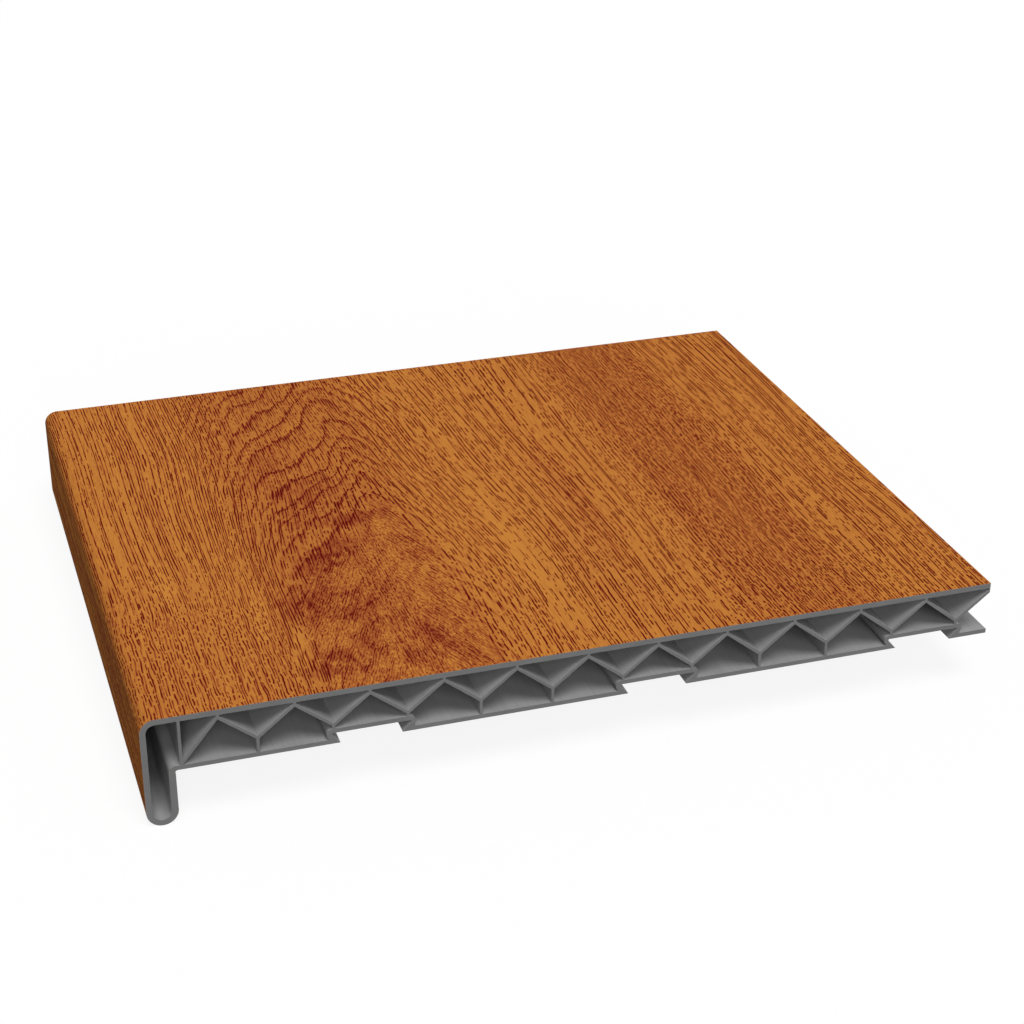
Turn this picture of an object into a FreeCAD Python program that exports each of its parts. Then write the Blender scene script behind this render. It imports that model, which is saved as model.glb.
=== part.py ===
# Window sill board: a hollow extruded PVC section with a drop nose, faced with a wood decor foil.
#
# Millimetres. The cross-section is drawn on the XZ plane of each body, with zero at the sharp top
# corner of the nose: X runs from the nose to the rear edge and Z is 0 on the finished top face.
# Every feature is extruded along Y, evenly to both sides. The bodies' placement then puts the
# origin of the part below the middle of the board, level with the bottom of the nose, +Z up.
import FreeCAD, Part
import Sketcher
import math
import os

# Driving dimensions: alias on the sheet, value (mm, or degrees for the angle), what it measures
SIZES = (
    ("depth", "300", "finished nose front to rear edge"),
    ("length", "250", "length of the piece between its two sawn ends"),
    ("board_thickness", "20", "top face to underside"),
    ("nose_height", "40", "top face to the bottom of the nose"),
    ("nose_width", "10.5", "front to back over the nose"),
    ("nose_corner", "5", "outer radius between the top face and the nose front"),
    ("foil", "0.2", "thickness of the decor foil"),
    ("foil_stop", "0.3", "foil edge on the nose back, below the root round"),
    ("face_wall", "1.8", "wall under the foil at the top, the nose front and the nose bottom"),
    ("back_wall", "2.1", "back wall of the nose under the foil"),
    ("plate", "1.6", "bottom plate, groove ceiling and groove side walls"),
    ("web", "1", "inner webs, necks and stubs"),
    ("web_setback", "1.5", "nose back to the upright web behind the nose"),
    ("root_radius", "1", "round between the nose back and the underside"),
    ("root_inner_radius", "2.5", "the same corner inside the nose chamber"),
    ("web_pitch", "25", "zigzag web, one upper bend to the next; the first is this far from the nose"),
    ("apex_drop", "3", "top face to the upper bends of the zigzag, on its centre line"),
    ("bend_drop", "13", "top face to the lower bends of the zigzag, on its centre line"),
    ("groove_first", "75", "nose front to the centre of the first dovetail groove"),
    ("groove_pitch", "100", "groove centre to groove centre"),
    ("groove_depth", "4", "underside to groove ceiling"),
    ("groove_half_width", "13", "groove centre to the axis of its upper corner round"),
    ("groove_corner", "0.4", "radius of the upper corner round"),
    ("lip_angle", "40", "degrees that a groove's side leans in from upright"),
)

# Lines of the section, as expressions on the sheet
TOP_INSIDE = "(-Sizes.foil - Sizes.face_wall)"
FRONT_INSIDE = "(Sizes.foil + Sizes.face_wall)"
BACK_OUTSIDE = "(Sizes.nose_width - Sizes.foil)"
BACK_INSIDE = "(Sizes.nose_width - Sizes.foil - Sizes.back_wall)"
UNDERSIDE = "(-Sizes.board_thickness)"
PLATE_TOP = "(Sizes.plate - Sizes.board_thickness)"
CHAMBER_FLOOR = "(Sizes.foil + Sizes.face_wall - Sizes.nose_height)"
CHAMBER_ROUND = f"(({BACK_INSIDE} - {FRONT_INSIDE}) / 2)"
WEB_FRONT = "(Sizes.nose_width + Sizes.web_setback)"
WEB_REAR = f"({WEB_FRONT} + Sizes.web)"
PAST_REAR = "(Sizes.depth + 3 * Sizes.web_pitch)"

# The zigzag web: half its upright thickness follows from its slope
ZIGZAG_SLOPE = "((Sizes.bend_drop - Sizes.apex_drop) / (Sizes.web_pitch / 2))"
HALF_RISE = f"(Sizes.web / 2 / cos(atan({ZIGZAG_SLOPE})))"
APEX_LOW = f"(-Sizes.apex_drop - {HALF_RISE})"
APEX_HIGH = f"(-Sizes.apex_drop + {HALF_RISE})"
BEND_LOW = f"(-Sizes.bend_drop - {HALF_RISE})"
BEND_HIGH = f"(-Sizes.bend_drop + {HALF_RISE})"
FIRST_APEX = "Sizes.web_pitch"
FIRST_BEND = "(1.5 * Sizes.web_pitch)"
SECOND_APEX = "(2 * Sizes.web_pitch)"
APEX_COUNT = "ceil(Sizes.depth / Sizes.web_pitch)"

# A groove counts only where it fits whole in front of the rear edge
GROOVE_REACH = "(Sizes.groove_half_width + Sizes.groove_corner + Sizes.plate)"
GROOVE_COUNT = f"floor((Sizes.depth - Sizes.groove_first - {GROOVE_REACH}) / Sizes.groove_pitch) + 1"

LEFT = "left"
RIGHT = "right"
UPRIGHT = FreeCAD.Vector(0, 0, 1)
LEAST_CHANGE = 0.001

doc = FreeCAD.newDocument("window_sill_board")


def make_sheet():
    """Put the driving dimensions on a sheet, one row each: name, value with its alias, meaning."""
    sheet = doc.addObject("Spreadsheet::Sheet", "Sizes")
    for row, (alias, size, meaning) in enumerate(SIZES, start=1):
        sheet.set(f"A{row}", alias)
        sheet.set(f"B{row}", size)
        sheet.set(f"C{row}", meaning)
        sheet.setAlias(f"B{row}", alias)
    doc.recompute()
    return sheet


sizes = make_sheet()


def value(rule):
    """What an expression on the sheet comes to."""
    result = sizes.evalExpression(rule)
    return float(getattr(result, "Value", result))


def bend(turn, radius):
    """A stretch that leaves its point as an arc, turning left or right with a radius."""
    return (turn, radius)


def unbend(stretch):
    """The same stretch walked the other way, where an arc turns to the other side."""
    if stretch is None:
        return None
    turn, radius = stretch
    return bend(RIGHT if turn == LEFT else LEFT, radius)


def backwards(path):
    """The same path walked the other way."""
    points = [(across, up) for across, up, _ in reversed(path)]
    leaving = [unbend(stretch) for _, _, stretch in reversed(path[:-1])]
    return [(*point, stretch) for point, stretch in zip(points, leaving + [None])]


def arc_between(first, second, turn, radius):
    """Circular arc of less than half a turn; its centre lies on the side that it turns to."""
    chord = second - first
    to_left = FreeCAD.Vector(-chord.y, chord.x, 0).normalize()
    to_side = to_left if turn == LEFT else -to_left
    reach = math.sqrt(radius ** 2 - (chord.Length / 2) ** 2)
    centre = (first + second) / 2 + to_side * reach
    ends = (first, second) if turn == LEFT else (second, first)
    angles = [math.atan2(end.y - centre.y, end.x - centre.x) for end in ends]
    return Part.ArcOfCircle(Part.Circle(centre, UPRIGHT, radius), *angles)


def bind(sketch, constraint, rule):
    """Add a dimension to a sketch and tie it to the sheet."""
    index = sketch.addConstraint(constraint)
    sketch.setExpression(f"Constraints[{index}]", rule)


def draw_stretch(sketch, first, second, stretch):
    """Draw a line or an arc; gives its number in the sketch and the sketch's marks of its two ends."""
    first_end, last_end = 1, 2
    if stretch is None:
        return sketch.addGeometry(Part.LineSegment(first, second)), first_end, last_end
    turn, radius = stretch
    number = sketch.addGeometry(arc_between(first, second, turn, value(radius)))
    if turn == LEFT:
        return number, first_end, last_end
    return number, last_end, first_end


def draw_outline(sketch, path):
    """Draw a closed outline through points (across, up, arc or None), each tied to the sheet."""
    sketch_origin = (-1, 1)
    points = [FreeCAD.Vector(value(across), value(up), 0) for across, up, _ in path]
    stretches = []
    for index, (across, up, stretch) in enumerate(path):
        second = points[(index + 1) % len(points)]
        stretches.append(draw_stretch(sketch, points[index], second, stretch))
    for index, (across, up, stretch) in enumerate(path):
        geometry, start, end = stretches[index]
        following, next_start, _ = stretches[(index + 1) % len(stretches)]
        sketch.addConstraint(Sketcher.Constraint("Coincident", geometry, end, following, next_start))
        for kind, rule in (("DistanceX", across), ("DistanceY", up)):
            bind(sketch, Sketcher.Constraint(kind, *sketch_origin, geometry, start, value(rule)), rule)
        if stretch is not None:
            radius = stretch[1]
            bind(sketch, Sketcher.Constraint("Radius", geometry, value(radius)), radius)


def make_body(label):
    """An empty body whose placement brings the section's zero to its place in the part."""
    body = doc.addObject("PartDesign::Body", label)
    body.Label = label
    body.setExpression("Placement.Base.x", "-Sizes.depth / 2")
    body.setExpression("Placement.Base.z", "Sizes.nose_height")
    return body


def origin_feature(body, role):
    return next(feature for feature in body.Origin.OriginFeatures if feature.Role == role)


def extrude(body, kind, name, path):
    """Draw an outline on the body's XZ plane and pad or pocket it along the board's length."""
    sketch = body.newObject("Sketcher::SketchObject", f"{name}_section")
    sketch.AttachmentSupport = (origin_feature(body, "XZ_Plane"), "")
    sketch.MapMode = "FlatFace"
    draw_outline(sketch, path)
    feature = body.newObject(f"PartDesign::{kind}", name)
    feature.Profile = sketch
    feature.SideType = "Symmetric"
    feature.setExpression("Length", "Sizes.length")
    body.Tip = feature
    doc.recompute()
    return feature


def repeat(body, name, features, pitch, count):
    """Repeat features along the depth of the board, one pitch apart."""
    pattern = body.newObject("PartDesign::LinearPattern", name)
    pattern.Originals = features
    pattern.Direction = (origin_feature(body, "X_Axis"), [""])
    pattern.Mode = "Spacing"
    pattern.setExpression("Offset", pitch)
    pattern.setExpression("Occurrences", count)
    body.Tip = pattern
    doc.recompute()
    return pattern


def rectangle(left, right, bottom, top):
    return [(left, bottom, None), (right, bottom, None), (right, top, None), (left, top, None)]


def face_path(inset):
    """From the rear edge over the top and round the nose up its back, inset from the finished face."""
    round_centre = "(Sizes.nose_width / 2 - Sizes.nose_height)"
    corner = bend(LEFT, f"(Sizes.nose_corner - {inset})")
    bottom = bend(LEFT, f"(Sizes.nose_width / 2 - {inset})")
    return [
        ("Sizes.depth", f"(-{inset})", None),
        ("Sizes.nose_corner", f"(-{inset})", corner),
        (inset, "(-Sizes.nose_corner)", None),
        (inset, round_centre, bottom),
        ("(Sizes.nose_width / 2)", f"({inset} - Sizes.nose_height)", bottom),
        (f"(Sizes.nose_width - {inset})", round_centre, None),
    ]


def shell_path():
    """Outside of the PVC: the faces under the foil, the root of the nose and the underside."""
    return face_path("Sizes.foil") + [
        (BACK_OUTSIDE, f"({UNDERSIDE} - Sizes.root_radius)", bend(RIGHT, "Sizes.root_radius")),
        (f"({BACK_OUTSIDE} + Sizes.root_radius)", UNDERSIDE, None),
        ("Sizes.depth", UNDERSIDE, None),
    ]


def nose_chamber_path():
    """Hollow of the nose, up to the top wall and back to the upright web."""
    corner = bend(LEFT, "(Sizes.nose_corner - Sizes.foil - Sizes.face_wall)")
    bottom = bend(LEFT, CHAMBER_ROUND)
    round_centre = f"({CHAMBER_FLOOR} + {CHAMBER_ROUND})"
    root = "Sizes.root_inner_radius"
    return [
        (WEB_FRONT, TOP_INSIDE, None),
        ("Sizes.nose_corner", TOP_INSIDE, corner),
        (FRONT_INSIDE, "(-Sizes.nose_corner)", None),
        (FRONT_INSIDE, round_centre, bottom),
        (f"({FRONT_INSIDE} + {CHAMBER_ROUND})", CHAMBER_FLOOR, bottom),
        (BACK_INSIDE, round_centre, None),
        (BACK_INSIDE, f"({PLATE_TOP} - {root})", bend(RIGHT, root)),
        (f"({BACK_INSIDE} + {root})", PLATE_TOP, None),
        (WEB_FRONT, PLATE_TOP, None),
    ]


def strut_path():
    """First slanting web, from the foot of the upright web to the first upper bend."""
    slope = f"(({APEX_LOW} - {PLATE_TOP}) / ({FIRST_APEX} - {WEB_REAR}))"
    rise = f"(Sizes.web / cos(atan({slope})))"
    return [
        (WEB_REAR, PLATE_TOP, None),
        (FIRST_APEX, APEX_LOW, None),
        (FIRST_APEX, f"({APEX_LOW} + {rise})", None),
        (WEB_REAR, f"({PLATE_TOP} + {rise})", None),
    ]


def chevron_path():
    """One V of the zigzag web, from an upper bend down to a lower bend and up to the next."""
    return [
        (FIRST_APEX, APEX_LOW, None),
        (FIRST_BEND, BEND_LOW, None),
        (SECOND_APEX, APEX_LOW, None),
        (SECOND_APEX, APEX_HIGH, None),
        (FIRST_BEND, BEND_HIGH, None),
        (FIRST_APEX, APEX_HIGH, None),
    ]


def upright_path(middle, bottom, top):
    """A short upright web of the usual thickness."""
    return rectangle(f"({middle} - Sizes.web / 2)", f"({middle} + Sizes.web / 2)", bottom, top)


def dovetail_path(radius, base):
    """Dovetail outline of the first groove: two leaning sides, upper corner rounds, flat ceiling.

    Any radius keeps the corner rounds' axes, so a larger one gives an outline at an even distance.
    """
    round_centre = f"({UNDERSIDE} + Sizes.groove_depth - Sizes.groove_corner)"
    ceiling = f"({round_centre} + {radius})"
    tangent = f"({round_centre} - {radius} * sin(Sizes.lip_angle))"
    half_tangent = f"(Sizes.groove_half_width + {radius} * cos(Sizes.lip_angle))"
    half_base = f"({half_tangent} - ({tangent} - {base}) * tan(Sizes.lip_angle))"
    corner = bend(LEFT, radius)
    return [
        (f"(Sizes.groove_first - {half_base})", base, None),
        (f"(Sizes.groove_first + {half_base})", base, None),
        (f"(Sizes.groove_first + {half_tangent})", tangent, corner),
        ("(Sizes.groove_first + Sizes.groove_half_width)", ceiling, None),
        ("(Sizes.groove_first - Sizes.groove_half_width)", ceiling, corner),
        (f"(Sizes.groove_first - {half_tangent})", tangent, None),
    ]


def make_pvc_profile():
    """The extrusion: shell, two hollows, zigzag webs, dovetail grooves, then the rear saw cut."""
    body = make_body("pvc_profile")
    extrude(body, "Pad", "shell", shell_path())
    extrude(body, "Pocket", "nose_chamber", nose_chamber_path())
    extrude(body, "Pocket", "board_chamber", rectangle(WEB_REAR, PAST_REAR, PLATE_TOP, TOP_INSIDE))
    extrude(body, "Pad", "strut", strut_path())
    into_top = f"({TOP_INSIDE} + Sizes.face_wall / 2)"
    into_plate = f"({PLATE_TOP} - Sizes.plate / 2)"
    webs = [
        extrude(body, "Pad", "neck", upright_path(FIRST_APEX, "(-Sizes.apex_drop)", into_top)),
        extrude(body, "Pad", "chevron", chevron_path()),
        extrude(body, "Pad", "stub", upright_path(FIRST_BEND, into_plate, "(-Sizes.bend_drop)")),
    ]
    repeat(body, "zigzag", webs, "Sizes.web_pitch", APEX_COUNT)
    wall_round = "(Sizes.groove_corner + Sizes.plate)"
    wall = extrude(body, "Pad", "groove_wall", dovetail_path(wall_round, UNDERSIDE))
    repeat(body, "groove_walls", [wall], "Sizes.groove_pitch", GROOVE_COUNT)
    below = f"({UNDERSIDE} - Sizes.plate)"
    channel = extrude(body, "Pocket", "groove", dovetail_path("Sizes.groove_corner", below))
    repeat(body, "grooves", [channel], "Sizes.groove_pitch", GROOVE_COUNT)
    waste = rectangle("Sizes.depth", PAST_REAR, "(-Sizes.nose_height)", "Sizes.board_thickness")
    extrude(body, "Pocket", "rear_saw_cut", waste)
    return body


def make_decor_foil():
    """The foil: one even skin on the top face, the nose front, the nose bottom and the nose back."""
    edge = f"({UNDERSIDE} - Sizes.root_radius - Sizes.foil_stop)"
    outside = face_path("0") + [("Sizes.nose_width", edge, None)]
    inside = face_path("Sizes.foil") + [(BACK_OUTSIDE, edge, None)]
    body = make_body("decor_foil")
    extrude(body, "Pad", "film", outside + backwards(inside))
    return body


def check(bodies):
    """Stop on any failed object, on a feature that changes nothing, and on an unsound solid."""
    for item in doc.Objects:
        if "Invalid" in item.State or "Error" in item.State:
            raise RuntimeError(f"{item.Label} failed: {item.State}")
    for body in bodies:
        volume = 0.0
        for feature in body.Group:
            if not feature.isDerivedFrom("PartDesign::Feature"):
                continue
            if abs(feature.Shape.Volume - volume) < LEAST_CHANGE:
                raise RuntimeError(f"{body.Label}: {feature.Label} changes nothing")
            volume = feature.Shape.Volume
        shape = body.Shape
        if shape.isNull() or not shape.isValid() or len(shape.Solids) != 1:
            raise RuntimeError(f"{body.Label} is not one sound solid")


def main():
    bodies = [make_pvc_profile(), make_decor_foil()]
    doc.recompute()
    check(bodies)
    os.makedirs("parts", exist_ok=True)
    for body in bodies:
        body.Shape.exportStep(f"parts/{body.Label}.step")
        box = body.Shape.BoundBox
        print(f"{body.Label}: {body.Shape.Volume:.1f} mm3, {len(body.Shape.Faces)} faces,"
              f" x {box.XMin:.2f} to {box.XMax:.2f}, y {box.YMin:.2f} to {box.YMax:.2f},"
              f" z {box.ZMin:.2f} to {box.ZMax:.2f}")


main()
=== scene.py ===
"""Window sill board: a hollow grey PVC board whose top and nose wear a wood decor foil.

Lengths are in metres, as in the frame. The grain is laid out in millimetres on the unrolled foil:
"across" is 0 at the nose front and grows over the top face to the rear edge, and it is negative down
the nose; "along" is 0 at the near sawn end and grows to the far one.
"""
import math
from functools import reduce
from operator import add, mul

import bpy
import numpy as np
from bpy.props import FloatProperty, FloatVectorProperty, PointerProperty
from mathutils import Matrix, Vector


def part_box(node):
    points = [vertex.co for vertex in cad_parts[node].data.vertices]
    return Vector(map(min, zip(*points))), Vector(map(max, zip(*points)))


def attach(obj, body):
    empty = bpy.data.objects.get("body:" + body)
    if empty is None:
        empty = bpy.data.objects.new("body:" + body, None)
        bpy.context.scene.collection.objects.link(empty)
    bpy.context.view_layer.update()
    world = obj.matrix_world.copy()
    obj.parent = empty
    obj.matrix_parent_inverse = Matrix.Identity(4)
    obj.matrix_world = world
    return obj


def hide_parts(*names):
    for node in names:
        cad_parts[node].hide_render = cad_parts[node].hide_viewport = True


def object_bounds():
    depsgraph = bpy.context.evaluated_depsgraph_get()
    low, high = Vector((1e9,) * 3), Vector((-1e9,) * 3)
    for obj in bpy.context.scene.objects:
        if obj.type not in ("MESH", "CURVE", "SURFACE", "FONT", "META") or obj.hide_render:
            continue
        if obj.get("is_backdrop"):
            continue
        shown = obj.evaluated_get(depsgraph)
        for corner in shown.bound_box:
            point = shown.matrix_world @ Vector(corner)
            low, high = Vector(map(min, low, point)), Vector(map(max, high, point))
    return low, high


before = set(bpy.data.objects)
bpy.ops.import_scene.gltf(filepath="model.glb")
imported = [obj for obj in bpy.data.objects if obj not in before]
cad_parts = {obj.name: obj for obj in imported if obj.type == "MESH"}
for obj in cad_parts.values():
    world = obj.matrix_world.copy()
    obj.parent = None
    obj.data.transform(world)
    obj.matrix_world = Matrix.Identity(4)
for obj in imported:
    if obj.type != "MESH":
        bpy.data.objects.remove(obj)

bl_info = {
    "name": "Window Sill Board",
    "version": (1, 0, 0),
    "blender": (4, 5, 0),
    "location": "View3D > Sidebar > Sill Board",
    "description": "Dresses a hollow PVC window sill board with its wood decor foil",
    "category": "Object",
}

CAD_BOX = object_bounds()
FOIL_LOW, FOIL_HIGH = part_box("decor_foil")
MM = 0.001
UNROLLED = "unrolled"
BAKE_MAP = "OFBake"

# Steps of each run of the foil's section and of its length, and the angle from which an edge is sharp
TOP_STEPS = 30
CORNER_STEPS = 18
FRONT_STEPS = 6
BOTTOM_STEPS = 36
BACK_STEPS = 3
LENGTH_STEPS = 25
SHARP_DEGREES = 30.0

# Noises: width and run of their lumps, in millimetres or, for the width of pores, in row steps;
# seed, lowest and highest value
NOISES = {
    "fibre_sway": (30.0, 95.0, 1.7, -2.5, 2.5),
    "fibre_gaps": (2.3, 70.0, 17.9, -0.3, 0.3),
    "ring_sway": (16.0, 22.0, 3.1, -7.0, 7.0),
    "ring_tilt": (45.0, 70.0, 8.7, -4.0, 4.0),
    "ring_fading": (11.0, 19.0, 51.3, 0.3, 1.6),
    "cloud_edge": (2.2, 5.0, 5.3, -0.75, 0.75),
    "broad": (7.0, 220.0, 31.1, -0.5, 0.5),
    "narrow": (2.8, 110.0, 33.7, -0.5, 0.5),
    "mottle": (0.5, 6.0, 41.7, -0.5, 0.5),
    "haze": (6.0, 11.0, 43.9, -0.5, 0.5),
    "speckle": (0.6, 1.6, 47.1, -0.5, 0.5),
    "fleck_patch": (3.5, 7.0, 27.7, 0.0, 1.0),
    "fleck_wobble": (3.0, 9.0, 29.3, 0.0, 1.0),
    "fleck_edge": (2.5, 6.0, 23.9, -0.45, 0.45),
    "pore_wander": (1.0, 28.0, 2.9, -0.3, 0.3),
    "pore_crumble": (1.0, 2.6, 8.3, -0.14, 0.14),
    "pore_faint": (1.0, 7.0, 5.7, 0.0, 1.0),
    "die_lines": (0.7, 160.0, 2.3, -0.5, 0.5),
    "saw_marks": (0.45, 35.0, 6.1, -0.5, 0.5),
    "blotches": (9.0, 9.0, 12.7, -0.5, 0.5),
}

# Zones of the grain: for each limit its way, and the places where the zone sets in and where it is full
ZONES = {
    "nose": (("across", 0, -8),),
    "near_nose": (("across", 60, 46), ("along", 85, 40)),
    "calm": (("across", 58, 42), ("along", 80, 115)),
    "bend_front": (("across", 18, 58), ("across", 98, 64), ("along", 200, 50)),
    "beside_heart": (("across", 46, 52), ("across", 71, 63), ("along", 14, 32), ("along", 130, 100)),
    "flank": (("across", 44, 60), ("across", 168, 128)),
    "arched": (("across", 56, 72), ("across", 168, 128)),
    "heart_side": (("across", 130, 112),),
    "heart_rear": (("across", 80, 104),),
    "far_rings": (("along", 95, 140),),
    "bend_rear": (("across", 95, 128), ("across", 210, 136), ("along", 240, 40)),
    "straight": (("across", 116, 134),),
    "calm_rear": (("across", 140, 150), ("along", 120, 190)),
    "quiet": (("across", 166, 180), ("across", 216, 206)),
    "band": (("across", 201, 214), ("across", 260, 255)),
    "near_rear": (("across", 254, 262), ("along", 48, 24)),
    "rearward": (("across", 40, 150),),
}
# Share of steady rows in straight grain, and of wavy grain in the dense band
STRAIGHT_STEADY = 0.45
BAND_WAVES = 0.46
# How far the fibres bend round the heart, on its nose side and on its rear side
BEND_FRONT = 9.0
BEND_REAR = 12.0

# Arches: their axis across, the drop of a ring at distances from the axis, and the tops of the rings
ARCH_AXIS = 110.0
ARCH_DROP = (
    (-150, 860), (-110, 500), (-75, 225), (-52, 100), (-40, 52), (-33, 41), (-24, 34), (-14, 24),
    (-8, 14), (-3, 3), (0, 0), (4, 4), (10, 20), (15, 36), (20, 56), (25, 80), (30, 108), (35, 140),
    (60, 320), (100, 640), (200, 1500),
)
ARCH_TOPS = (119, 139, 153, 166, 178, 191, 206, 226, 241, 256)
# More rings lie an even step apart below the first top and beyond the last
RING_STEP = 15.0
RINGS_BELOW = 12
RINGS_BEYOND = 60
# How far apart along the board the rows of pores can set a ring line
RING_TEETH = 4.0
# Distances from the axis between which the rings grow steep, behind it and in front of it
STEEP_SIDES = ((3.0, 40.0), (-48.0, -84.0))
# Core of a line in shares of a ring, and its edge and strength where it is level and where it is steep
LINE_CORE = 0.04
LINE_EDGE = (0.10, 0.22)
LINE_STRENGTH = (1.0, 0.4)
# Strength of the lines off and on the flanks, near and far along the board
FLANK_LINES = (0.15, 1.0)
FAR_LINES = (0.65, 1.0)
# How much the heart hides of the lines, in its front and in its rear
HEART_COVER = (0.4, 0.9)
# Where the fringe sets in and is full, in shares of a ring, and where the heart does, in tops of rings
FRINGE_EDGE = (0.55, 1.0)
HEART_EDGE = (150.0, 105.0)

# Dark and pale clouds round the heart, and hazes and pale gaps in the grain beside it:
# across, along, half width, half length, lean, change of tone
CLOUDS = (
    (88, 146, 14, 13, 0.0, -0.18), (82, 128, 9, 14, 0.2, -0.15), (97, 117, 10, 6, 0.6, -0.38),
    (86, 96, 9, 8, 0.6, -0.34), (78, 86, 8, 10, 0.6, -0.28), (64, 60, 6, 11, 0.2, -0.36),
    (72, 60, 3, 19, 0.45, -0.34), (83, 49, 7, 9, 0.6, -0.34), (83, 29, 4, 12, 0.5, -0.30),
    (70, 22, 6, 6, 0.0, -0.38), (66, 12, 8, 4, -0.6, -0.36), (103, 25, 4, 15, -0.4, -0.36),
    (94, 14, 8, 6, 0.0, -0.26), (114, 85, 6, 4, -0.9, -0.24), (76, 172, 9, 16, 0.3, -0.14),
    (92, 64, 10, 8, 0.4, -0.14), (106, 72, 12, 20, 0.0, 0.08), (94, 107, 4, 5, 0.0, 0.14),
    (86, 6, 7, 8, 0.0, 0.16), (95, 204, 4, 8, 0.4, 0.16), (72, 36, 6, 8, 0.3, 0.12),
    (22, 86, 3, 18, 0.0, 0.20), (51, 58, 3, 16, 0.1, 0.20), (61, 36, 3, 12, 0.2, 0.22),
    (183, 112, 6, 55, 0.0, -0.10), (166, 60, 6, 30, 0.0, -0.09), (149, 70, 5, 50, 0.0, 0.10),
)
# Where a cloud sets in and where it is full, in shares of its half sizes
CLOUD_EDGE = (1.4, 0.3)

# Tone of the ground between the pores, and share of pores, from the nose to the rear edge
BAND_TONES = (
    (-80, 0.86), (0, 0.88), (25, 0.90), (45, 0.90), (62, 0.80), (100, 0.78), (122, 0.86), (140, 0.93),
    (158, 0.93), (172, 0.92), (184, 0.92), (196, 0.93), (212, 0.85), (226, 0.78), (248, 0.78),
    (258, 0.87), (278, 0.90), (300, 0.86),
)
BAND_PORES = (
    (-80, 0.59), (-8, 0.57), (2, 0.49), (8, 0.65), (11, 0.53), (14, 0.65), (28, 0.61), (32, 0.43),
    (36, 0.61), (45, 0.63), (62, 0.63), (100, 0.57), (122, 0.59), (140, 0.55), (148, 0.53),
    (152, 0.41), (157, 0.55), (170, 0.57), (184, 0.56), (188, 0.54), (191, 0.45), (195, 0.59),
    (200, 0.57), (204, 0.45), (209, 0.57), (226, 0.59), (248, 0.59), (258, 0.58), (261, 0.49),
    (265, 0.58), (270, 0.49), (276, 0.58), (300, 0.63),
)
# What each part of the figure adds to the share of pores, to the tone and to the depth of the pores
PORE_SHARE = {
    "broad": 0.06, "narrow": 0.25, "cloud": -0.55, "calm": 0.14, "dense": 0.14, "near_nose": 0.08,
    "line": 0.80, "arch_fringe": 0.35, "arched": -0.06, "steady_rows": 0.90,
}
WOOD_TONE = {
    "broad": -0.04, "narrow": -0.10, "mottle": 0.28, "cloud": 0.70, "calm": 0.02, "dense": 0.03,
    "near_nose": -0.04, "quiet": -0.03, "line": -0.42, "arch_fringe": -0.05, "heart": -0.05,
    "heart_haze": 0.30, "heart_speckle": 0.62, "nose_streaks": -0.50,
}
PORE_DEPTH = {
    "rearward": 0.25, "band": -0.06, "near_nose": -0.10, "quiet": -0.14, "cloud": 0.30,
    "arched": -0.30, "arch_line": 0.30,
}
# Depth of the pores before anything is added
PLAIN_DEPTH = 0.94

# Rows of pores stand further apart behind the arches: place across, and place in even rows
ROW_PLACES = ((-100, -100), (0, 0), (60, 60), (130, 132), (208, 195), (258, 241), (310, 288))
# How far a row can stand off its place, and where a pore's edge and its core lie, in shares of a row
ROW_JITTER = 0.40
PORE_EDGE = (0.33, 0.11)
# How much a dash narrows to its ends, how abruptly it ends, and how far the share of pores moves the ends
DASH_TAPER = 0.27
DASH_ENDS = 14.0
SHARE_EFFECT = 0.3
# Length of the finest breaks in a dash in millimetres, and how strong they are
FINEST_BREAK = 1.6
BREAK_ROUGHNESS = 0.9
# Where a dash grows faint and where it is full in its noise, and its least strength
FAINT_EDGE = (0.25, 0.62)
FAINTEST = 0.5
# Steps in the noises from row to row and from pair to pair, so that none are alike
ROW_STEPS = {"pore_wander": 5.3, "pore_crumble": 4.1, "pore_faint": 7.1}
PAIR_STEP = 3.37
PAIR_STARTS = 90.0
JITTER_SEED = 11.3
STEADY_SEED = 31.7

# Lean of the flecks: the first, then where across a new one sets in, where it holds, and the new lean
FIRST_LEAN = 0.42
FLECK_LEANS = ((82, 96, 0.0), (96, 112, -0.35), (124, 136, 0.0), (64, 52, 0.0))
# Strength of the flecks in the heart, what wavy grain adds to it, and where flecks set in and are full
HEART_FLECKS = 0.7
WAVY_FLECKS = 0.6
FLECK_EDGE = (0.40, 0.60)

# Marks of the PVC: slants of the noises over the faces, and the middle of the saw, x and z in millimetres
DIE_SLANT = 0.8
BLOTCH_SLANT = 0.31
SAW_MIDDLE = (60.0, -210.0)
# How much the marks and the blotches change the grey, and how much it shines
MARK_TONE = 0.12
BLOTCH_TONE = 0.14
PVC_SHINE = 0.2
# A face is sawn where its normal points along the board, from the first share to the second
SAWN_EDGE = (0.8, 0.95)
# Strength of a relief and its depth in millimetres
PORE_RELIEF = (0.25, 0.03)
MARK_RELIEF = (0.3, 0.04)

# Far lights: name, strength, width in degrees, and the way to the light
LIGHTS = (
    ("key_light", 0.625, 30.0, (0.04, -0.38, 0.90)),
    ("front_fill", 0.50, 35.0, (-0.11, -0.90, 0.38)),
)


def shade(red, green, blue):
    """Linear colour of a picture's 0 to 255 red, green and blue, by the sRGB curve."""
    part = np.array((red, green, blue)) / 255
    linear = np.where(part <= 0.04045, part / 12.92, ((part + 0.055) / 1.055) ** 2.4)
    return tuple(linear.tolist())


def length(name, description, default):
    return FloatProperty(name=name, description=description, default=default, min=0.0, unit="LENGTH")


def colour(name, description, default):
    return FloatVectorProperty(
        name=name, description=description, default=default, size=3, min=0.0, max=1.0, subtype="COLOR")


def factor(name, description, default):
    return FloatProperty(
        name=name, description=description, default=default, min=0.0, max=1.0, subtype="FACTOR")


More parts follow.
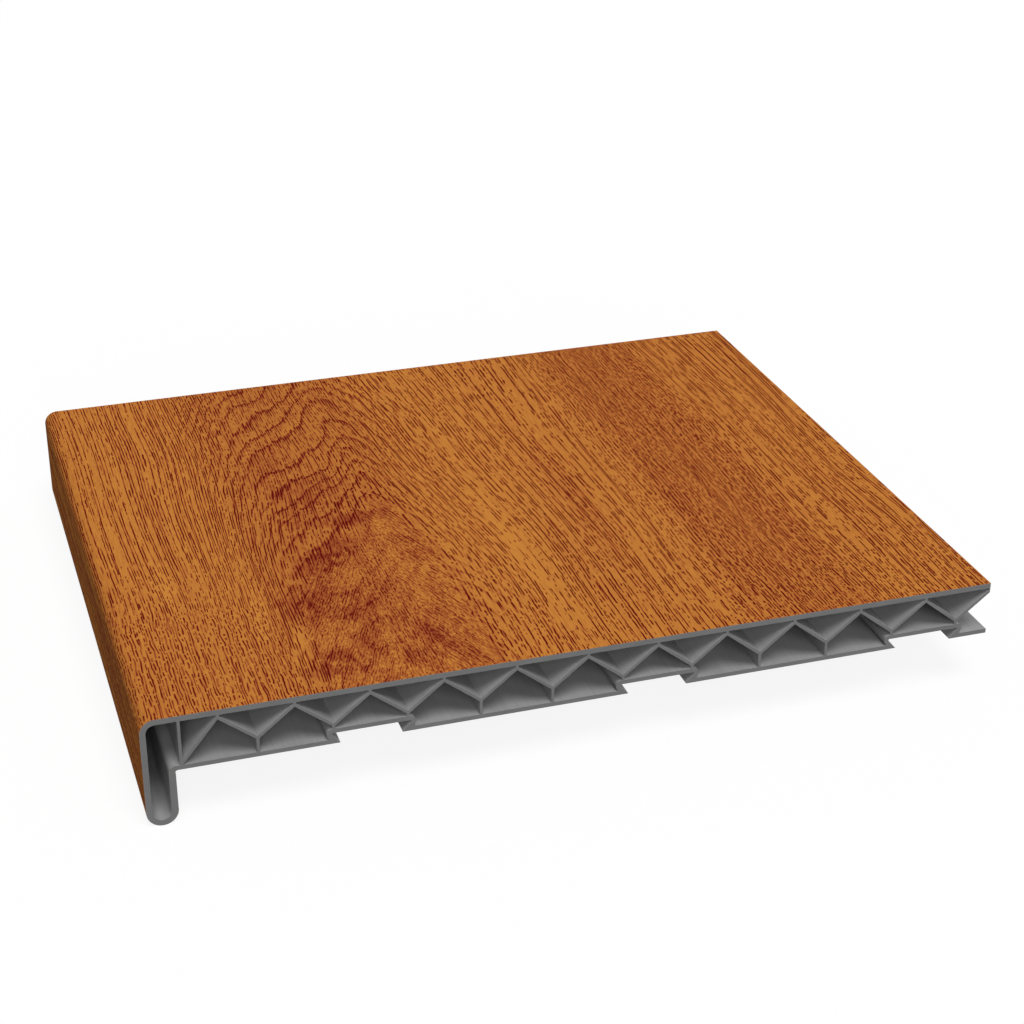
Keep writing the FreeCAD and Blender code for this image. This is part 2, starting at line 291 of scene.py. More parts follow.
class SillFoilSizes(bpy.types.PropertyGroup):
    """Section of the foil round the nose."""
    thickness: length("Foil", "Thickness of the decor foil", 0.0002)
    nose_width: length("Nose width", "Front to back over the nose", 0.0105)
    nose_corner: length("Nose corner", "Radius between the top face and the nose front", 0.005)
    edge_height: length("Foil edge", "Height of the foil's edge on the nose back", 0.0187)


class SillDecorLook(bpy.types.PropertyGroup):
    """Colours and scale of the printed wood."""
    pore: colour("Pore", "Deepest pores", shade(92, 12, 10))
    dark: colour("Dark wood", "Ring lines and clouds", shade(130, 52, 29))
    middle: colour("Middle wood", "Ground of the dark bands", shade(163, 88, 43))
    pale: colour("Pale wood", "Ground of the pale bands", shade(197, 128, 56))
    sawn_edge: colour("Sawn edge", "The foil's own plastic on the sawn ends", (0.20, 0.19, 0.18))
    pore_width: length("Pore spacing", "From one row of pores to the next", 0.00106)
    calm_pore: length("Calm pore", "Length of the pores in calm grain and beside the heart", 0.045)
    long_pore: length("Long pore", "Length of the pores in straight grain", 0.016)
    arch_pore: length("Arch pore", "Length of the pores between the arches", 0.008)
    short_pore: length("Short pore", "Length of the pores in dense grain", 0.0036)
    fleck: length("Fleck", "Length of the pores in the heart and in wavy grain", 0.0028)
    sheen: factor("Sheen", "Share of the satin coat that reflects", 0.03)
    roughness: factor("Roughness", "Roughness of the satin film", 0.45)


class SillPlasticLook(bpy.types.PropertyGroup):
    """Finish of the extruded PVC, and the darker grey painted on its sawn ends as shade."""
    body: colour("PVC", "Grey of the extruded faces", (0.29, 0.29, 0.29))
    # The sawn ends are the same plastic as the extruded faces: their darker grey is painted shade
    shaded_sawn: colour("Sawn PVC", "Grey of the sawn ends", (0.15, 0.15, 0.15))
    roughness: factor("Roughness", "Roughness of the extruded faces", 0.5)


class SillStageLook(bpy.types.PropertyGroup):
    """Camera, floor and light."""
    camera: FloatVectorProperty(
        name="Camera", description="Where the camera stands", size=3, subtype="TRANSLATION",
        default=(-0.2110, -0.7016, 0.3995))
    aim: FloatVectorProperty(
        name="Aim", description="Tilt and turn of the camera", size=3, subtype="EULER",
        default=(math.radians(63.30), 0.0, math.radians(-17.712)))
    lens: FloatProperty(name="Lens", description="Focal length in millimetres", default=75.0, min=1.0)
    floor: colour("Floor", "Colour of the plain floor", (1.0, 1.0, 1.0))
    floor_reach: length("Floor reach", "From the middle of the floor to its edges", 4.0)
    shadow: factor("Shadow", "Strength of the shadow on the floor", 0.12)
    bounce: factor("Bounce", "Share of the light that the floor throws back on the board", 0.18)
    ambient: factor("Ambient", "Even light from all sides", 0.22)


class Wiring:
    """Short words for a shader node tree: most add a node and give back the value that it puts out."""

    def __init__(self, tree):
        self.tree = tree

    def node(self, kind, **settings):
        made = self.tree.nodes.new(kind)
        for name, setting in settings.items():
            setattr(made, name, setting)
        return made

    def link(self, output, socket):
        self.tree.links.new(output, socket)

    def feed(self, socket, source):
        """Link a value to an input, or set the input to a plain number or colour."""
        if isinstance(source, Value):
            self.link(source.socket, socket)
        else:
            socket.default_value = source

    def math(self, operation, *sources, clamp=False):
        node = self.node("ShaderNodeMath", operation=operation, use_clamp=clamp)
        for socket, source in zip(node.inputs, sources):
            self.feed(socket, source)
        return Value(self, node.outputs["Value"])

    def between(self, share, low, high):
        """Low where the share is 0, high where it is 1, and evenly from one to the other."""
        return share * (high - low) + low

    def span(self, value, low, high):
        """Smooth rise from 0 at low to 1 at high."""
        node = self.node("ShaderNodeMapRange", interpolation_type="SMOOTHSTEP")
        for name, source in (("Value", value), ("From Min", low), ("From Max", high)):
            self.feed(node.inputs[name], source)
        return Value(self, node.outputs["Result"])

    def curve(self, value, points):
        """Smooth curve through points (from, to), carried on straight beyond the first and the last."""
        points = np.array(points, float)
        low, high = points.min(0), points.max(0)
        node = self.node("ShaderNodeFloatCurve")
        line = node.mapping.curves[0]
        for index, (place, height) in enumerate((points - low) / (high - low)):
            if index < len(line.points) - 1 or index == len(points) - 1:
                line.points[min(index, len(line.points) - 1)].location = (place, height)
            else:
                line.points.new(place, height)
        node.mapping.update()
        share = (value - float(low[0])) / float(high[0] - low[0])
        self.feed(node.inputs["Value"], share)
        return self.between(Value(self, node.outputs["Value"]), float(low[1]), float(high[1]))

    def weigh(self, start, weights, parts):
        """Start plus each named part times its weight."""
        for name, weight in weights.items():
            start = self.math("MULTIPLY_ADD", parts[name], weight, start)
        return start

    def chance(self, value):
        """Random number from 0 to 1, another for each value."""
        node = self.node("ShaderNodeTexWhiteNoise", noise_dimensions="1D")
        self.feed(node.inputs["W"], value)
        return Value(self, node.outputs["Value"])

    def pick(self, share, chance, one, other):
        """The other value where chance falls below share, and the one value elsewhere."""
        chosen = self.math("GREATER_THAN", share, chance)
        return self.math("ADD", chosen * self.math("SUBTRACT", other, one), one)

    def flat_noise(self, x, y, detail, roughness):
        """Noise from 0 to 1 on a plane, whose lumps are 1 wide."""
        place = self.node("ShaderNodeCombineXYZ")
        self.feed(place.inputs["X"], x)
        self.feed(place.inputs["Y"], y)
        node = self.node("ShaderNodeTexNoise", noise_dimensions="2D")
        self.link(place.outputs["Vector"], node.inputs["Vector"])
        for name, source in (("Scale", 1.0), ("Detail", detail), ("Roughness", roughness)):
            self.feed(node.inputs[name], source)
        return Value(self, node.outputs["Fac"])

    def noise(self, name, across, along):
        """A noise of the table, drawn out along the grain by the shared group."""
        width, run, seed, lowest, highest = NOISES[name]
        streaks = self.group(streak_group(), Across=across, Along=along, Width=width, Run=run, Seed=seed)
        return self.between(streaks, lowest, highest)

    def group(self, tree, **inputs):
        """What a shared group puts out when it is fed with these inputs."""
        node = self.node("ShaderNodeGroup", node_tree=tree)
        for name, source in inputs.items():
            self.feed(node.inputs[name], source)
        return Value(self, node.outputs[0])

    def put_out(self, value):
        """Make the value what this group puts out."""
        self.feed(self.node("NodeGroupOutput").inputs[0], value)

    def parts(self, vector):
        """The x, y and z of a vector."""
        node = self.node("ShaderNodeSeparateXYZ")
        self.link(vector, node.inputs["Vector"])
        return [Value(self, socket) for socket in node.outputs]


class Value:
    """A number that changes over the surface; arithmetic on it adds Math nodes."""

    def __init__(self, wiring, socket):
        self.wiring = wiring
        self.socket = socket

    def __add__(self, other):
        return self.wiring.math("ADD", self, other)

    def __sub__(self, other):
        return self.wiring.math("SUBTRACT", self, other)

    def __rsub__(self, other):
        return self.wiring.math("SUBTRACT", other, self)

    def __mul__(self, other):
        return self.wiring.math("MULTIPLY", self, other)

    def __truediv__(self, other):
        return self.wiring.math("DIVIDE", self, other)


def new_group(name, inputs, output):
    """An empty shared group of plain numbers; gives its wiring and what is put into it, by name."""
    tree = bpy.data.node_groups.new(name, "ShaderNodeTree")
    for label in inputs:
        tree.interface.new_socket(label, in_out="INPUT", socket_type="NodeSocketFloat")
    tree.interface.new_socket(output, in_out="OUTPUT", socket_type="NodeSocketFloat")
    wiring = Wiring(tree)
    given = wiring.node("NodeGroupInput").outputs
    return wiring, {label: Value(wiring, given[label]) for label in inputs}


def streak_group():
    """Shared group: noise from 0 to 1 whose lumps are one Width wide and one Run long."""
    name = "drawn_out_streaks"
    if name in bpy.data.node_groups:
        return bpy.data.node_groups[name]
    wiring, given = new_group(name, ("Across", "Along", "Width", "Run", "Seed"), "Streaks")
    aside = given["Across"] / given["Width"] + given["Seed"]
    ahead = given["Along"] / given["Run"] + given["Seed"]
    wiring.put_out(wiring.flat_noise(aside, ahead, detail=0.0, roughness=0.0))
    return wiring.tree


def pore_group():
    """Shared group: thin dark dashes in rows along the grain, as a mask that is 1 where they are darkest.

    Each whole number in Rows is a row, whose line stands off its middle by a random share of a row,
    wanders and crumbles a little. Along the line, noise drawn out by Run is cut at a level that falls
    as Share grows, so that more of the line shows, and the dashes narrow to their ends. Rows come in
    pairs with opposite noise, so one mostly fills the gaps of the other. Some stretches are fainter.
    """
    name = "rows_of_pores"
    if name in bpy.data.node_groups:
        return bpy.data.node_groups[name]
    wiring, given = new_group(name, ("Rows", "Along", "Run", "Share"), "Pores")
    along = given["Along"]
    row = wiring.math("FLOOR", given["Rows"])
    noises = {kind: wiring.noise(kind, row * step, along) for kind, step in ROW_STEPS.items()}
    jitter = wiring.chance(row + JITTER_SEED) - 0.5
    aside = wiring.math("FRACT", given["Rows"]) - 0.5 - jitter * ROW_JITTER
    aside = wiring.math("ABSOLUTE", aside - noises["pore_wander"] - noises["pore_crumble"])

    pair = wiring.math("FLOOR", row * 0.5)
    turn = (row - pair * 2.0) * 2.0 - 1.0
    ahead = along / given["Run"] + wiring.chance(pair) * PAIR_STARTS + jitter
    detail = wiring.math("LOGARITHM", given["Run"] / FINEST_BREAK, 2.0)
    drawn = wiring.flat_noise(ahead, pair * PAIR_STEP, detail, BREAK_ROUGHNESS)
    level = (drawn - 0.5) * turn + (given["Share"] - 0.5) * SHARE_EFFECT
    bare = wiring.math("SUBTRACT", 0.5, level * DASH_ENDS, clamp=True)
    pores = wiring.span(aside + bare * DASH_TAPER, *PORE_EDGE)
    full = wiring.span(noises["pore_faint"], *FAINT_EDGE)
    wiring.put_out(pores * wiring.between(full, FAINTEST, 1.0))
    return wiring.tree


def bare_wiring(owner):
    """Wiring of a material or a world that is cleared of its nodes."""
    owner.use_nodes = True
    owner.node_tree.nodes.clear()
    return Wiring(owner.node_tree)


def new_material(name):
    """A material with nothing but a Principled shader; gives the material, its wiring and the shader."""
    material = bpy.data.materials.new(name)
    wiring = bare_wiring(material)
    shader = wiring.node("ShaderNodeBsdfPrincipled")
    wiring.link(shader.outputs["BSDF"], wiring.node("ShaderNodeOutputMaterial").inputs["Surface"])
    return material, wiring, shader


def sawn_ends(wiring):
    """1 on the sawn ends, whose normal points along the board, and 0 on all other faces."""
    facing = wiring.parts(wiring.node("ShaderNodeNewGeometry").outputs["Normal"])
    return wiring.span(wiring.math("ABSOLUTE", facing[1]), *SAWN_EDGE)


def relief(wiring, shader, height, strength, depth):
    """Bump the shader's normal by a height, whose 1 stands for a depth in millimetres."""
    bump = wiring.node("ShaderNodeBump")
    bump.inputs["Strength"].default_value = strength
    bump.inputs["Distance"].default_value = depth * MM
    wiring.feed(bump.inputs["Height"], height)
    wiring.link(bump.outputs["Normal"], shader.inputs["Normal"])


class Grain:
    """Place on the unrolled foil, and how far it lies in each zone of the grain, from 0 to 1."""

    def __init__(self, wiring, pitch):
        self.wiring = wiring
        self.pitch = pitch
        place = wiring.node("ShaderNodeAttribute", attribute_name=UNROLLED)
        self.across, self.along, _ = wiring.parts(place.outputs["Vector"])
        self.zones = {name: self.zone(limits) for name, limits in ZONES.items()}
        self.mix_zones()

    def zone(self, limits):
        """Product of a zone's limits, each a smooth rise from 0 where it sets in to 1 where it is full."""
        return reduce(mul, [self.wiring.span(getattr(self, way), low, high) for way, low, high in limits])

    def mix_zones(self):
        """Add the zones that are made of others."""
        zones = self.zones
        beside_band = 1.0 - zones["band"]
        dense = zones["band"] + zones["near_nose"]
        zones["dense"] = self.wiring.math("ADD", dense, zones["near_rear"], clamp=True)
        zones["long_rows"] = zones["calm"] + zones["calm_rear"] * beside_band
        straight = zones["straight"] * beside_band * STRAIGHT_STEADY
        zones["steady"] = self.wiring.math("ADD", zones["calm"], straight, clamp=True)
        zones["wavy"] = zones["near_nose"] + zones["band"] * BAND_WAVES

    def noise(self, name, across=None):
        """A noise of the table at this place, or at another place across."""
        return self.wiring.noise(name, across or self.across, self.along)

    def rows(self, across):
        """Rows of pores counted up to a place across."""
        return self.wiring.curve(across, ROW_PLACES) / self.pitch

    def pores(self, rows, run, share):
        """Mask of the pores in these rows, by the shared group."""
        return self.wiring.group(pore_group(), Rows=rows, Along=self.along, Run=run, Share=share)


def bent_fibres(grain):
    """Place across the fibres: as they sway, and as they also stand unevenly and bend round the heart."""
    swayed = grain.across + grain.noise("fibre_sway")
    bend = grain.zones["bend_front"] * BEND_FRONT - grain.zones["bend_rear"] * BEND_REAR
    return swayed, swayed + grain.noise("fibre_gaps") + bend


def ring_lines(grain, swayed, teeth):
    """Arches of the figure: the lines, the fringe of pores that runs up to each, and the heart.

    Every ring is the same curve below its top: along = top - drop(across - axis). So the top of the
    ring through a point is along + drop, and a line is drawn wherever that is one of the tops, wider
    and fainter where it is steep. Teeth move the line a little up or down in each row of pores. The
    heart is all that lies under the lowest rings.
    """
    wiring = grain.wiring
    aside = swayed - ARCH_AXIS + grain.noise("ring_tilt", swayed)
    top = grain.along + wiring.curve(aside, ARCH_DROP) + grain.noise("ring_sway", swayed) + teeth
    steps = [(ARCH_TOPS[0] - RINGS_BELOW * RING_STEP, -RINGS_BELOW)]
    steps += [(place, index) for index, place in enumerate(ARCH_TOPS)]
    steps += [(ARCH_TOPS[-1] + RINGS_BEYOND * RING_STEP, len(ARCH_TOPS) - 1 + RINGS_BEYOND)]
    rings = wiring.curve(top, steps)
    away = wiring.math("PINGPONG", rings, 0.5)
    steep = wiring.math("MAXIMUM", *[wiring.span(aside, *limits) for limits in STEEP_SIDES])
    line = wiring.span(away, wiring.between(steep, *LINE_EDGE), LINE_CORE)
    line = line * wiring.between(steep, *LINE_STRENGTH)
    fringe = wiring.span(wiring.math("FRACT", rings), *FRINGE_EDGE)
    heart = wiring.span(top, *HEART_EDGE) * grain.zones["arched"] * grain.zones["heart_side"]
    return line, fringe, heart


def shown_lines(grain, fibre, line, heart):
    """Ring lines as they show: they fade here and there, off the flanks, near by and in the heart."""
    wiring = grain.wiring
    fading = wiring.math("MINIMUM", grain.noise("ring_fading", fibre), 1.0)
    hidden = heart * wiring.between(grain.zones["heart_rear"], *HEART_COVER)
    line = line * fading * wiring.between(grain.zones["flank"], *FLANK_LINES)
    return line * (1.0 - hidden) * wiring.between(grain.zones["far_rings"], *FAR_LINES)


def clouds(grain):
    """Sum of soft leaning ovals: each fades from its middle to a ragged edge."""
    wiring = grain.wiring
    ragged = grain.noise("cloud_edge")
    shapes = []
    for across, along, half_width, half_length, lean, change in CLOUDS:
        ahead = grain.along - along
        aside = (grain.across - across - ahead * lean) / half_width
        ahead = ahead / half_length
        reach = wiring.math("SQRT", aside * aside + ahead * ahead)
        shapes.append(wiring.span(reach + ragged, *CLOUD_EDGE) * change)
    return reduce(add, shapes)


def wood_figure(grain):
    """Everything that the tone and the pores of the wood depend on, by name."""
    wiring = grain.wiring
    swayed, fibre = bent_fibres(grain)
    rows = grain.rows(fibre)
    row = wiring.math("FLOOR", rows)
    row_chance = wiring.chance(row)
    line, fringe, heart = ring_lines(grain, swayed, (row_chance - 0.5) * RING_TEETH)
    line = shown_lines(grain, fibre, line, heart)

    figure = dict(grain.zones, rows=rows, row_chance=row_chance, line=line, heart=heart)
    figure["cloud"] = clouds(grain)
    for name in ("broad", "narrow", "mottle"):
        figure[name] = grain.noise(name, fibre)
    figure["steady_rows"] = (wiring.chance(row + STEADY_SEED) - 0.5) * figure["steady"]
    figure["arch_fringe"] = fringe * figure["arched"]
    figure["arch_line"] = line * figure["arched"]
    figure["heart_haze"] = grain.noise("haze") * heart
    figure["heart_speckle"] = grain.noise("speckle") * heart
    figure["nose_streaks"] = figure["narrow"] * figure["nose"]
    return figure


def dashes(grain, figure, share, look):
    """Pores along the fibres: where zones meet, chance gives each row the length of one or the other."""
    lengths = (
        ("long_rows", look.calm_pore),
        ("arched", look.arch_pore),
        ("beside_heart", look.calm_pore),
        ("dense", look.short_pore),
    )
    run = look.long_pore / MM
    for zone, pore in lengths:
        run = grain.wiring.pick(figure[zone], figure["row_chance"], run, pore / MM)
    return grain.pores(figure["rows"], run, share)


def flecks(grain, share, look):
    """Short pores: their rows wobble, and in the heart they lean towards its middle from both sides."""
    wiring = grain.wiring
    patch = grain.noise("fleck_patch")
    lean = FIRST_LEAN
    for low, high, next_lean in FLECK_LEANS:
        lean = wiring.pick(wiring.span(grain.across, low, high), patch, lean, next_lean)
    rows = grain.rows(grain.across - lean * grain.along + grain.noise("fleck_wobble"))
    strength = wiring.math("ADD", grain.zones["wavy"] * WAVY_FLECKS, HEART_FLECKS, clamp=True)
    return grain.pores(rows, look.fleck / MM, share) * strength


def paint_wood(wiring, shader, tone, look):
    """Colour the tone from the deepest pore to the palest wood, and the sawn ends grey."""
    ramp = wiring.node("ShaderNodeValToRGB")
    stops = ((0.0, look.pore), (0.25, look.dark), (0.60, look.middle), (1.0, look.pale))
    spread = ramp.color_ramp.elements
    while len(spread) < len(stops):
        spread.new(0.5)
    for element, (position, tint) in zip(spread, stops):
        element.position = position
        element.color = (*tint, 1.0)
    wiring.feed(ramp.inputs["Fac"], tone)
    painted = wiring.node("ShaderNodeMix", data_type="RGBA")
    wiring.feed(painted.inputs["Factor"], sawn_ends(wiring))
    wiring.link(ramp.outputs["Color"], painted.inputs["A"])
    painted.inputs["B"].default_value = (*look.sawn_edge, 1.0)
    wiring.link(painted.outputs["Result"], shader.inputs["Base Color"])


def wood_decor(look):
    """Printed wood: a ground toned by bands, rings, clouds and noise, less the dark of the pores.

    The pores are dashes along the fibres, and short flecks in the heart, by the nose and in patches of
    the dense band.
    """
    material, wiring, shader = new_material("wood_decor_foil")
    grain = Grain(wiring, look.pore_width / MM)
    figure = wood_figure(grain)
    share = wiring.weigh(wiring.curve(grain.across, BAND_PORES), PORE_SHARE, figure)
    inside = wiring.math("MAXIMUM", figure["heart"], figure["wavy"]) + grain.noise("fleck_edge")
    inside = wiring.span(inside, *FLECK_EDGE)
    pores = wiring.between(inside, dashes(grain, figure, share, look), flecks(grain, share, look))
    ground = wiring.weigh(wiring.curve(grain.across, BAND_TONES), WOOD_TONE, figure)
    depth = wiring.weigh(PLAIN_DEPTH, PORE_DEPTH, figure)

    paint_wood(wiring, shader, ground - pores * depth, look)
    relief(wiring, shader, pores * -1.0, *PORE_RELIEF)
    shader.inputs["Roughness"].default_value = look.roughness
    # Only the thin satin coat reflects, so that the dark pores keep their colour
    shader.inputs["Specular IOR Level"].default_value = 0.0
    shader.inputs["Coat Weight"].default_value = look.sheen
    shader.inputs["Coat Roughness"].default_value = look.roughness
    return material


def grey_pvc(look):
    """Extruded PVC: die lines along the board, soft blotches, and the arcs of the saw on the sawn ends,
    which also get a darker grey as painted shade.
    """
    material, wiring, shader = new_material("grey_pvc_extrusion")
    place = wiring.node("ShaderNodeTexCoord")
    x, y, z = [part / MM for part in wiring.parts(place.outputs["Object"])]
    # Mask of the sawn ends: it brings in the saw marks and the painted shade
    shaded_sawn = sawn_ends(wiring)
    die_lines = wiring.noise("die_lines", x * DIE_SLANT + z, y)
    aside = x - SAW_MIDDLE[0]
    above = z - SAW_MIDDLE[1]
    radius = wiring.math("SQRT", aside * aside + above * above)
    marks = wiring.between(shaded_sawn, die_lines, wiring.noise("saw_marks", radius, x))
    blotches = wiring.noise("blotches", x + y * BLOTCH_SLANT, z + y)

    level = marks * MARK_TONE + blotches * BLOTCH_TONE + 1.0
    # Grey of the faces, with the darker grey on the sawn ends painted as shade
    grey = wiring.node("ShaderNodeCombineColor")
    for channel, wall, cut in zip(grey.inputs, look.body, look.shaded_sawn):
        wiring.feed(channel, wiring.between(shaded_sawn, wall, cut) * level)
    wiring.link(grey.outputs["Color"], shader.inputs["Base Color"])
    relief(wiring, shader, marks, *MARK_RELIEF)
    shader.inputs["Roughness"].default_value = look.roughness
    shader.inputs["Specular IOR Level"].default_value = PVC_SHINE
    return material


def straight_run(start, end, steps):
    """Points on a straight line from start to end, both included."""
    return np.linspace(start, end, steps + 1)


def arc(centre, radius, start, end, steps):
    """Points on a circle from one angle to another, in degrees, both ends included."""
    angle = np.radians(np.linspace(start, end, steps + 1))
    return np.stack([centre[0] + radius * np.cos(angle), centre[1] + radius * np.sin(angle)], 1)


def face_line(sizes, inset):
    """Section of the finished face, x and z, set in by a distance.

    From the rear edge forward along the top, a quarter circle down to the nose front, a half circle
    under the nose and up its back to the edge of the foil.
    """
    front, rear, top = FOIL_LOW.x, FOIL_HIGH.x, FOIL_HIGH.z
    corner = (front + sizes.nose_corner, top - sizes.nose_corner)
    half = sizes.nose_width / 2
    bottom = (front + half, FOIL_LOW.z + half)
    back = front + sizes.nose_width - inset
    top_run = straight_run((rear, top - inset), (corner[0], top - inset), TOP_STEPS)
    corner_run = arc(corner, sizes.nose_corner - inset, 90, 180, CORNER_STEPS)
    front_run = straight_run((front + inset, corner[1]), (front + inset, bottom[1]), FRONT_STEPS)
    bottom_run = arc(bottom, half - inset, 180, 360, BOTTOM_STEPS)
    back_run = straight_run((back, bottom[1]), (back, sizes.edge_height), BACK_STEPS)
    return np.concatenate([top_run[:-1], corner_run[:-1], front_run[:-1], bottom_run[:-1], back_run])


def foil_grid(sizes):
    """Points of the foil by station, side and place in the section, and their places on the unrolled foil.

    The section is carried from the near end to the far one. Its outer and its inner line have the same
    number of points. A point's unrolled place is its distance from the nose front, measured along the
    outer line, and its distance from the near end.
    """
    section = np.stack([face_line(sizes, 0.0), face_line(sizes, sizes.thickness)])
    stations = np.linspace(FOIL_LOW.y, FOIL_HIGH.y, LENGTH_STEPS + 1)
    points = np.empty((len(stations), *section.shape[:2], 3))
    points[..., 0] = section[None, :, :, 0]
    points[..., 1] = stations[:, None, None]
    points[..., 2] = section[None, :, :, 1]
    steps = np.linalg.norm(np.diff(section[0], axis=0), axis=1)
    walked = np.concatenate([[0.0], np.cumsum(steps)])
    unrolled = np.zeros_like(points)
    unrolled[..., 0] = (FOIL_HIGH.x - FOIL_LOW.x - walked) / MM
    unrolled[..., 1] = (points[..., 1] - FOIL_LOW.y) / MM
    return points, unrolled


def grid_faces(index):
    """Quads of a grid of vertex numbers, one for each cell."""
    return np.stack([index[:-1, :-1], index[1:, :-1], index[1:, 1:], index[:-1, 1:]], -1).reshape(-1, 4)


def foil_skin(number):
    """Quads of the closed skin and their corners' places on its UV map.

    The outer and the inner side, the two ends and the two long edges are each a grid of vertex numbers,
    and each fills a band of the map from edge to edge.
    """
    # Each strip: its vertices, and the low and the high edge of its band
    strips = (
        (number[:, 0, :], 0.06, 1.0),
        (number[::-1, 1, :], 0.0, 0.02),
        (number[0, ::-1, :], 0.025, 0.03),
        (number[-1, :, :], 0.035, 0.04),
        (number[:, :, 0].T, 0.045, 0.047),
        (number[:, ::-1, -1].T, 0.05, 0.052),
    )
    faces, places = [], []
    for index, low, high in strips:
        faces.append(grid_faces(index))
        rows, columns = index.shape
        across, up = np.meshgrid(np.linspace(0, 1, columns), np.linspace(low, high, rows))
        cells = grid_faces(np.arange(index.size).reshape(index.shape)).ravel()
        places.append(np.stack([across.ravel()[cells], up.ravel()[cells]], 1))
    return np.concatenate(faces), np.concatenate(places)


def closed_volume(points, faces):
    """Six times the volume that the quads close: triple products of the corners of their two triangles."""
    first, second, third, fourth = points[faces].transpose(1, 0, 2)
    normals = np.cross(second, third) + np.cross(third, fourth)
    return np.einsum("ij,ij->", first, normals)


def foil_mesh(sizes):
    """The foil as a closed skin that carries its unrolled places and a UV map."""
    points, unrolled = foil_grid(sizes)
    faces, places = foil_skin(np.arange(points[..., 0].size).reshape(points.shape[:3]))
    points = points.reshape(-1, 3)
    if closed_volume(points, faces) <= 0:
        raise RuntimeError("the foil's faces point inwards")
    mesh = bpy.data.meshes.new("decor_foil_skin")
    mesh.from_pydata(points.tolist(), [], faces.tolist())
    mesh.polygons.foreach_set("use_smooth", np.ones(len(faces), bool))
    mesh.set_sharp_from_angle(angle=math.radians(SHARP_DEGREES))
    attribute = mesh.attributes.new(UNROLLED, "FLOAT_VECTOR", "POINT")
    attribute.data.foreach_set("vector", unrolled.ravel())
    layer = mesh.uv_layers.new(name=BAKE_MAP)
    layer.uv.foreach_set("vector", places.ravel())
    return mesh


def put_in_scene(context, name, data):
    """A new object of the data, linked to the scene."""
    made = bpy.data.objects.new(name, data)
    context.scene.collection.objects.link(made)
    return made


class SILL_OT_decor_foil(bpy.types.Operator):
    """Lay the wood decor foil over the top face and round the nose"""
    bl_idname = "sill.decor_foil"
    bl_label = "Decor Foil"

    def execute(self, context):
        mesh = foil_mesh(context.scene.sill_foil)
        mesh.materials.append(wood_decor(context.scene.sill_decor))
        foil = put_in_scene(context, "decor_foil_skin", mesh)
        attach(foil, "root")
        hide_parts("decor_foil")
        return {"FINISHED"}


class SILL_OT_pvc_profile(bpy.types.Operator):
    """Finish the PVC extrusion in matt grey"""
    bl_idname = "sill.pvc_profile"
    bl_label = "PVC Profile"

    def execute(self, context):
        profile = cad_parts["pvc_profile"]
        material = grey_pvc(context.scene.sill_plastic)
        for slot in profile.material_slots:
            slot.material = material
        return {"FINISHED"}


def seen_directly(wiring):
    """1 for rays that come from the camera, off gloss or through glass."""
    path = wiring.node("ShaderNodeLightPath")
    rays = [Value(wiring, path.outputs[f"Is {kind} Ray"]) for kind in ("Camera", "Glossy", "Transmission")]
    return wiring.math("MAXIMUM", wiring.math("MAXIMUM", rays[0], rays[1]), rays[2])


def mixed_shaders(wiring, share, one, other):
    """The one shader's output where the share is 0 and the other's where it is 1."""
    node = wiring.node("ShaderNodeMixShader")
    wiring.feed(node.inputs["Fac"], share)
    wiring.link(one, node.inputs[1])
    wiring.link(other, node.inputs[2])
    return node.outputs["Shader"]


def floor_material(look):
    """The floor's colour with a faint shadow where it is seen, and dull grey to the light it returns."""
    material = bpy.data.materials.new("plain_floor")
    wiring = bare_wiring(material)
    glow = wiring.node("ShaderNodeEmission")
    glow.inputs["Color"].default_value = (*look.floor, 1.0)
    paint = wiring.node("ShaderNodeBsdfDiffuse")
    paint.inputs["Color"].default_value = (*look.floor, 1.0)
    dull = wiring.node("ShaderNodeBsdfDiffuse")
    dull.inputs["Color"].default_value = (look.bounce, look.bounce, look.bounce, 1.0)
    shown = mixed_shaders(wiring, look.shadow, glow.outputs["Emission"], paint.outputs["BSDF"])
    either = mixed_shaders(wiring, seen_directly(wiring), dull.outputs["BSDF"], shown)
    wiring.link(either, wiring.node("ShaderNodeOutputMaterial").inputs["Surface"])
    return material


def floor_mesh(look):
    """A square, level with the bottom of the board and centred under it."""
    reach, height = look.floor_reach, CAD_BOX[0].z
    corners = [(x * reach, y * reach, height) for x, y in ((-1, -1), (1, -1), (1, 1), (-1, 1))]
    mesh = bpy.data.meshes.new("floor")
    mesh.from_pydata(corners, [], [(0, 1, 2, 3)])
    mesh.materials.append(floor_material(look))
    return mesh


def make_world(look):
    """White where it is seen, and a dim even light from all sides."""
    world = bpy.data.worlds.new("studio")
    wiring = bare_wiring(world)
    background = wiring.node("ShaderNodeBackground")
    background.inputs["Color"].default_value = (1.0, 1.0, 1.0, 1.0)
    wiring.feed(background.inputs["Strength"], wiring.between(seen_directly(wiring), look.ambient, 1.0))
    wiring.link(background.outputs["Background"], wiring.node("ShaderNodeOutputWorld").inputs["Surface"])
    return world


def add_sun(context, name, strength, degrees, towards):
    """A far light: strength 1 lights a face turned to it as brightly as its colour is written."""
    light = bpy.data.lights.new(name, "SUN")
    light.energy = strength * math.pi
    light.angle = math.radians(degrees)
    lamp = put_in_scene(context, name, light)
    lamp.rotation_mode = "QUATERNION"
    lamp.rotation_quaternion = Vector(towards).to_track_quat("Z", "Y")


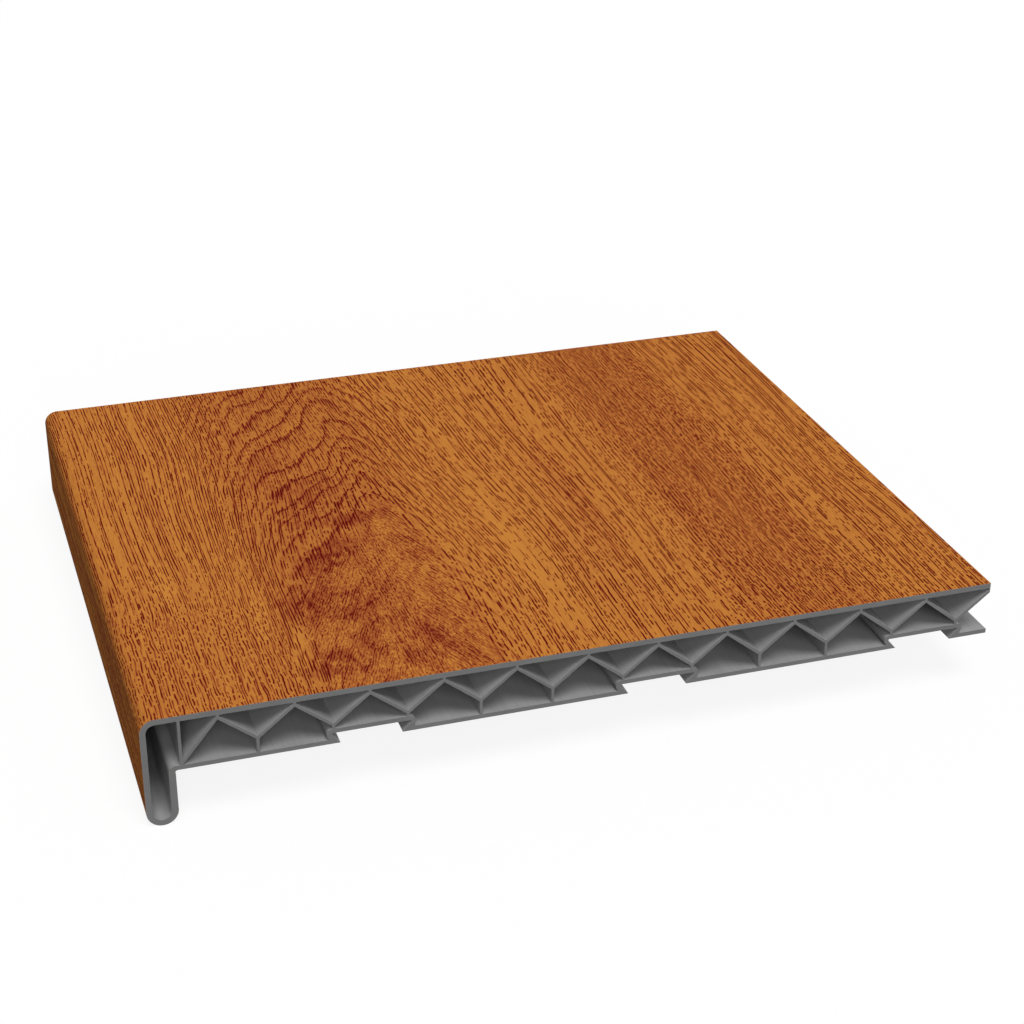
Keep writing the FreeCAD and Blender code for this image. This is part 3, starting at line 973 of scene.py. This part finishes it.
class SILL_OT_stage(bpy.types.Operator):
    """Set the plain floor, the soft light and the camera"""
    bl_idname = "sill.stage"
    bl_label = "Stage"

    def execute(self, context):
        look = context.scene.sill_stage
        floor = put_in_scene(context, "floor", floor_mesh(look))
        floor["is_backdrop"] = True
        context.scene.world = make_world(look)
        for light in LIGHTS:
            add_sun(context, *light)
        camera = put_in_scene(context, "camera", bpy.data.cameras.new("camera"))
        camera.data.lens = look.lens
        camera.location = look.camera
        camera.rotation_euler = look.aim
        context.scene.camera = camera
        context.scene.view_settings.view_transform = "Standard"
        return {"FINISHED"}


class SILL_PT_board(bpy.types.Panel):
    """Sizes, finishes and stage of the sill board"""
    bl_idname = "SILL_PT_board"
    bl_label = "Sill Board"
    bl_space_type = "VIEW_3D"
    bl_region_type = "UI"
    bl_category = "Sill Board"

    def draw(self, context):
        for name, operator in PANEL_ROWS:
            group = getattr(context.scene, name)
            box = self.layout.box()
            for prop in group.bl_rna.properties:
                if prop.identifier not in ("rna_type", "name"):
                    box.prop(group, prop.identifier)
            if operator:
                box.operator(operator)


PANEL_ROWS = (
    ("sill_foil", None),
    ("sill_decor", "sill.decor_foil"),
    ("sill_plastic", "sill.pvc_profile"),
    ("sill_stage", "sill.stage"),
)
GROUPS = {
    "sill_foil": SillFoilSizes,
    "sill_decor": SillDecorLook,
    "sill_plastic": SillPlasticLook,
    "sill_stage": SillStageLook,
}
CLASSES = (
    *GROUPS.values(), SILL_OT_decor_foil, SILL_OT_pvc_profile, SILL_OT_stage, SILL_PT_board,
)


def register():
    for made in CLASSES:
        bpy.utils.register_class(made)
    for name, group in GROUPS.items():
        setattr(bpy.types.Scene, name, PointerProperty(type=group))


def unregister():
    for name in GROUPS:
        delattr(bpy.types.Scene, name)
    for made in reversed(CLASSES):
        bpy.utils.unregister_class(made)


def main():
    register()
    bpy.ops.sill.pvc_profile()
    bpy.ops.sill.decor_foil()
    bpy.ops.sill.stage()
    boxes = {"cad": CAD_BOX, "visual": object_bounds()}
    {name: [list(corner) for corner in box] for name, box in boxes.items()}


if __name__ == "__main__":
    main()
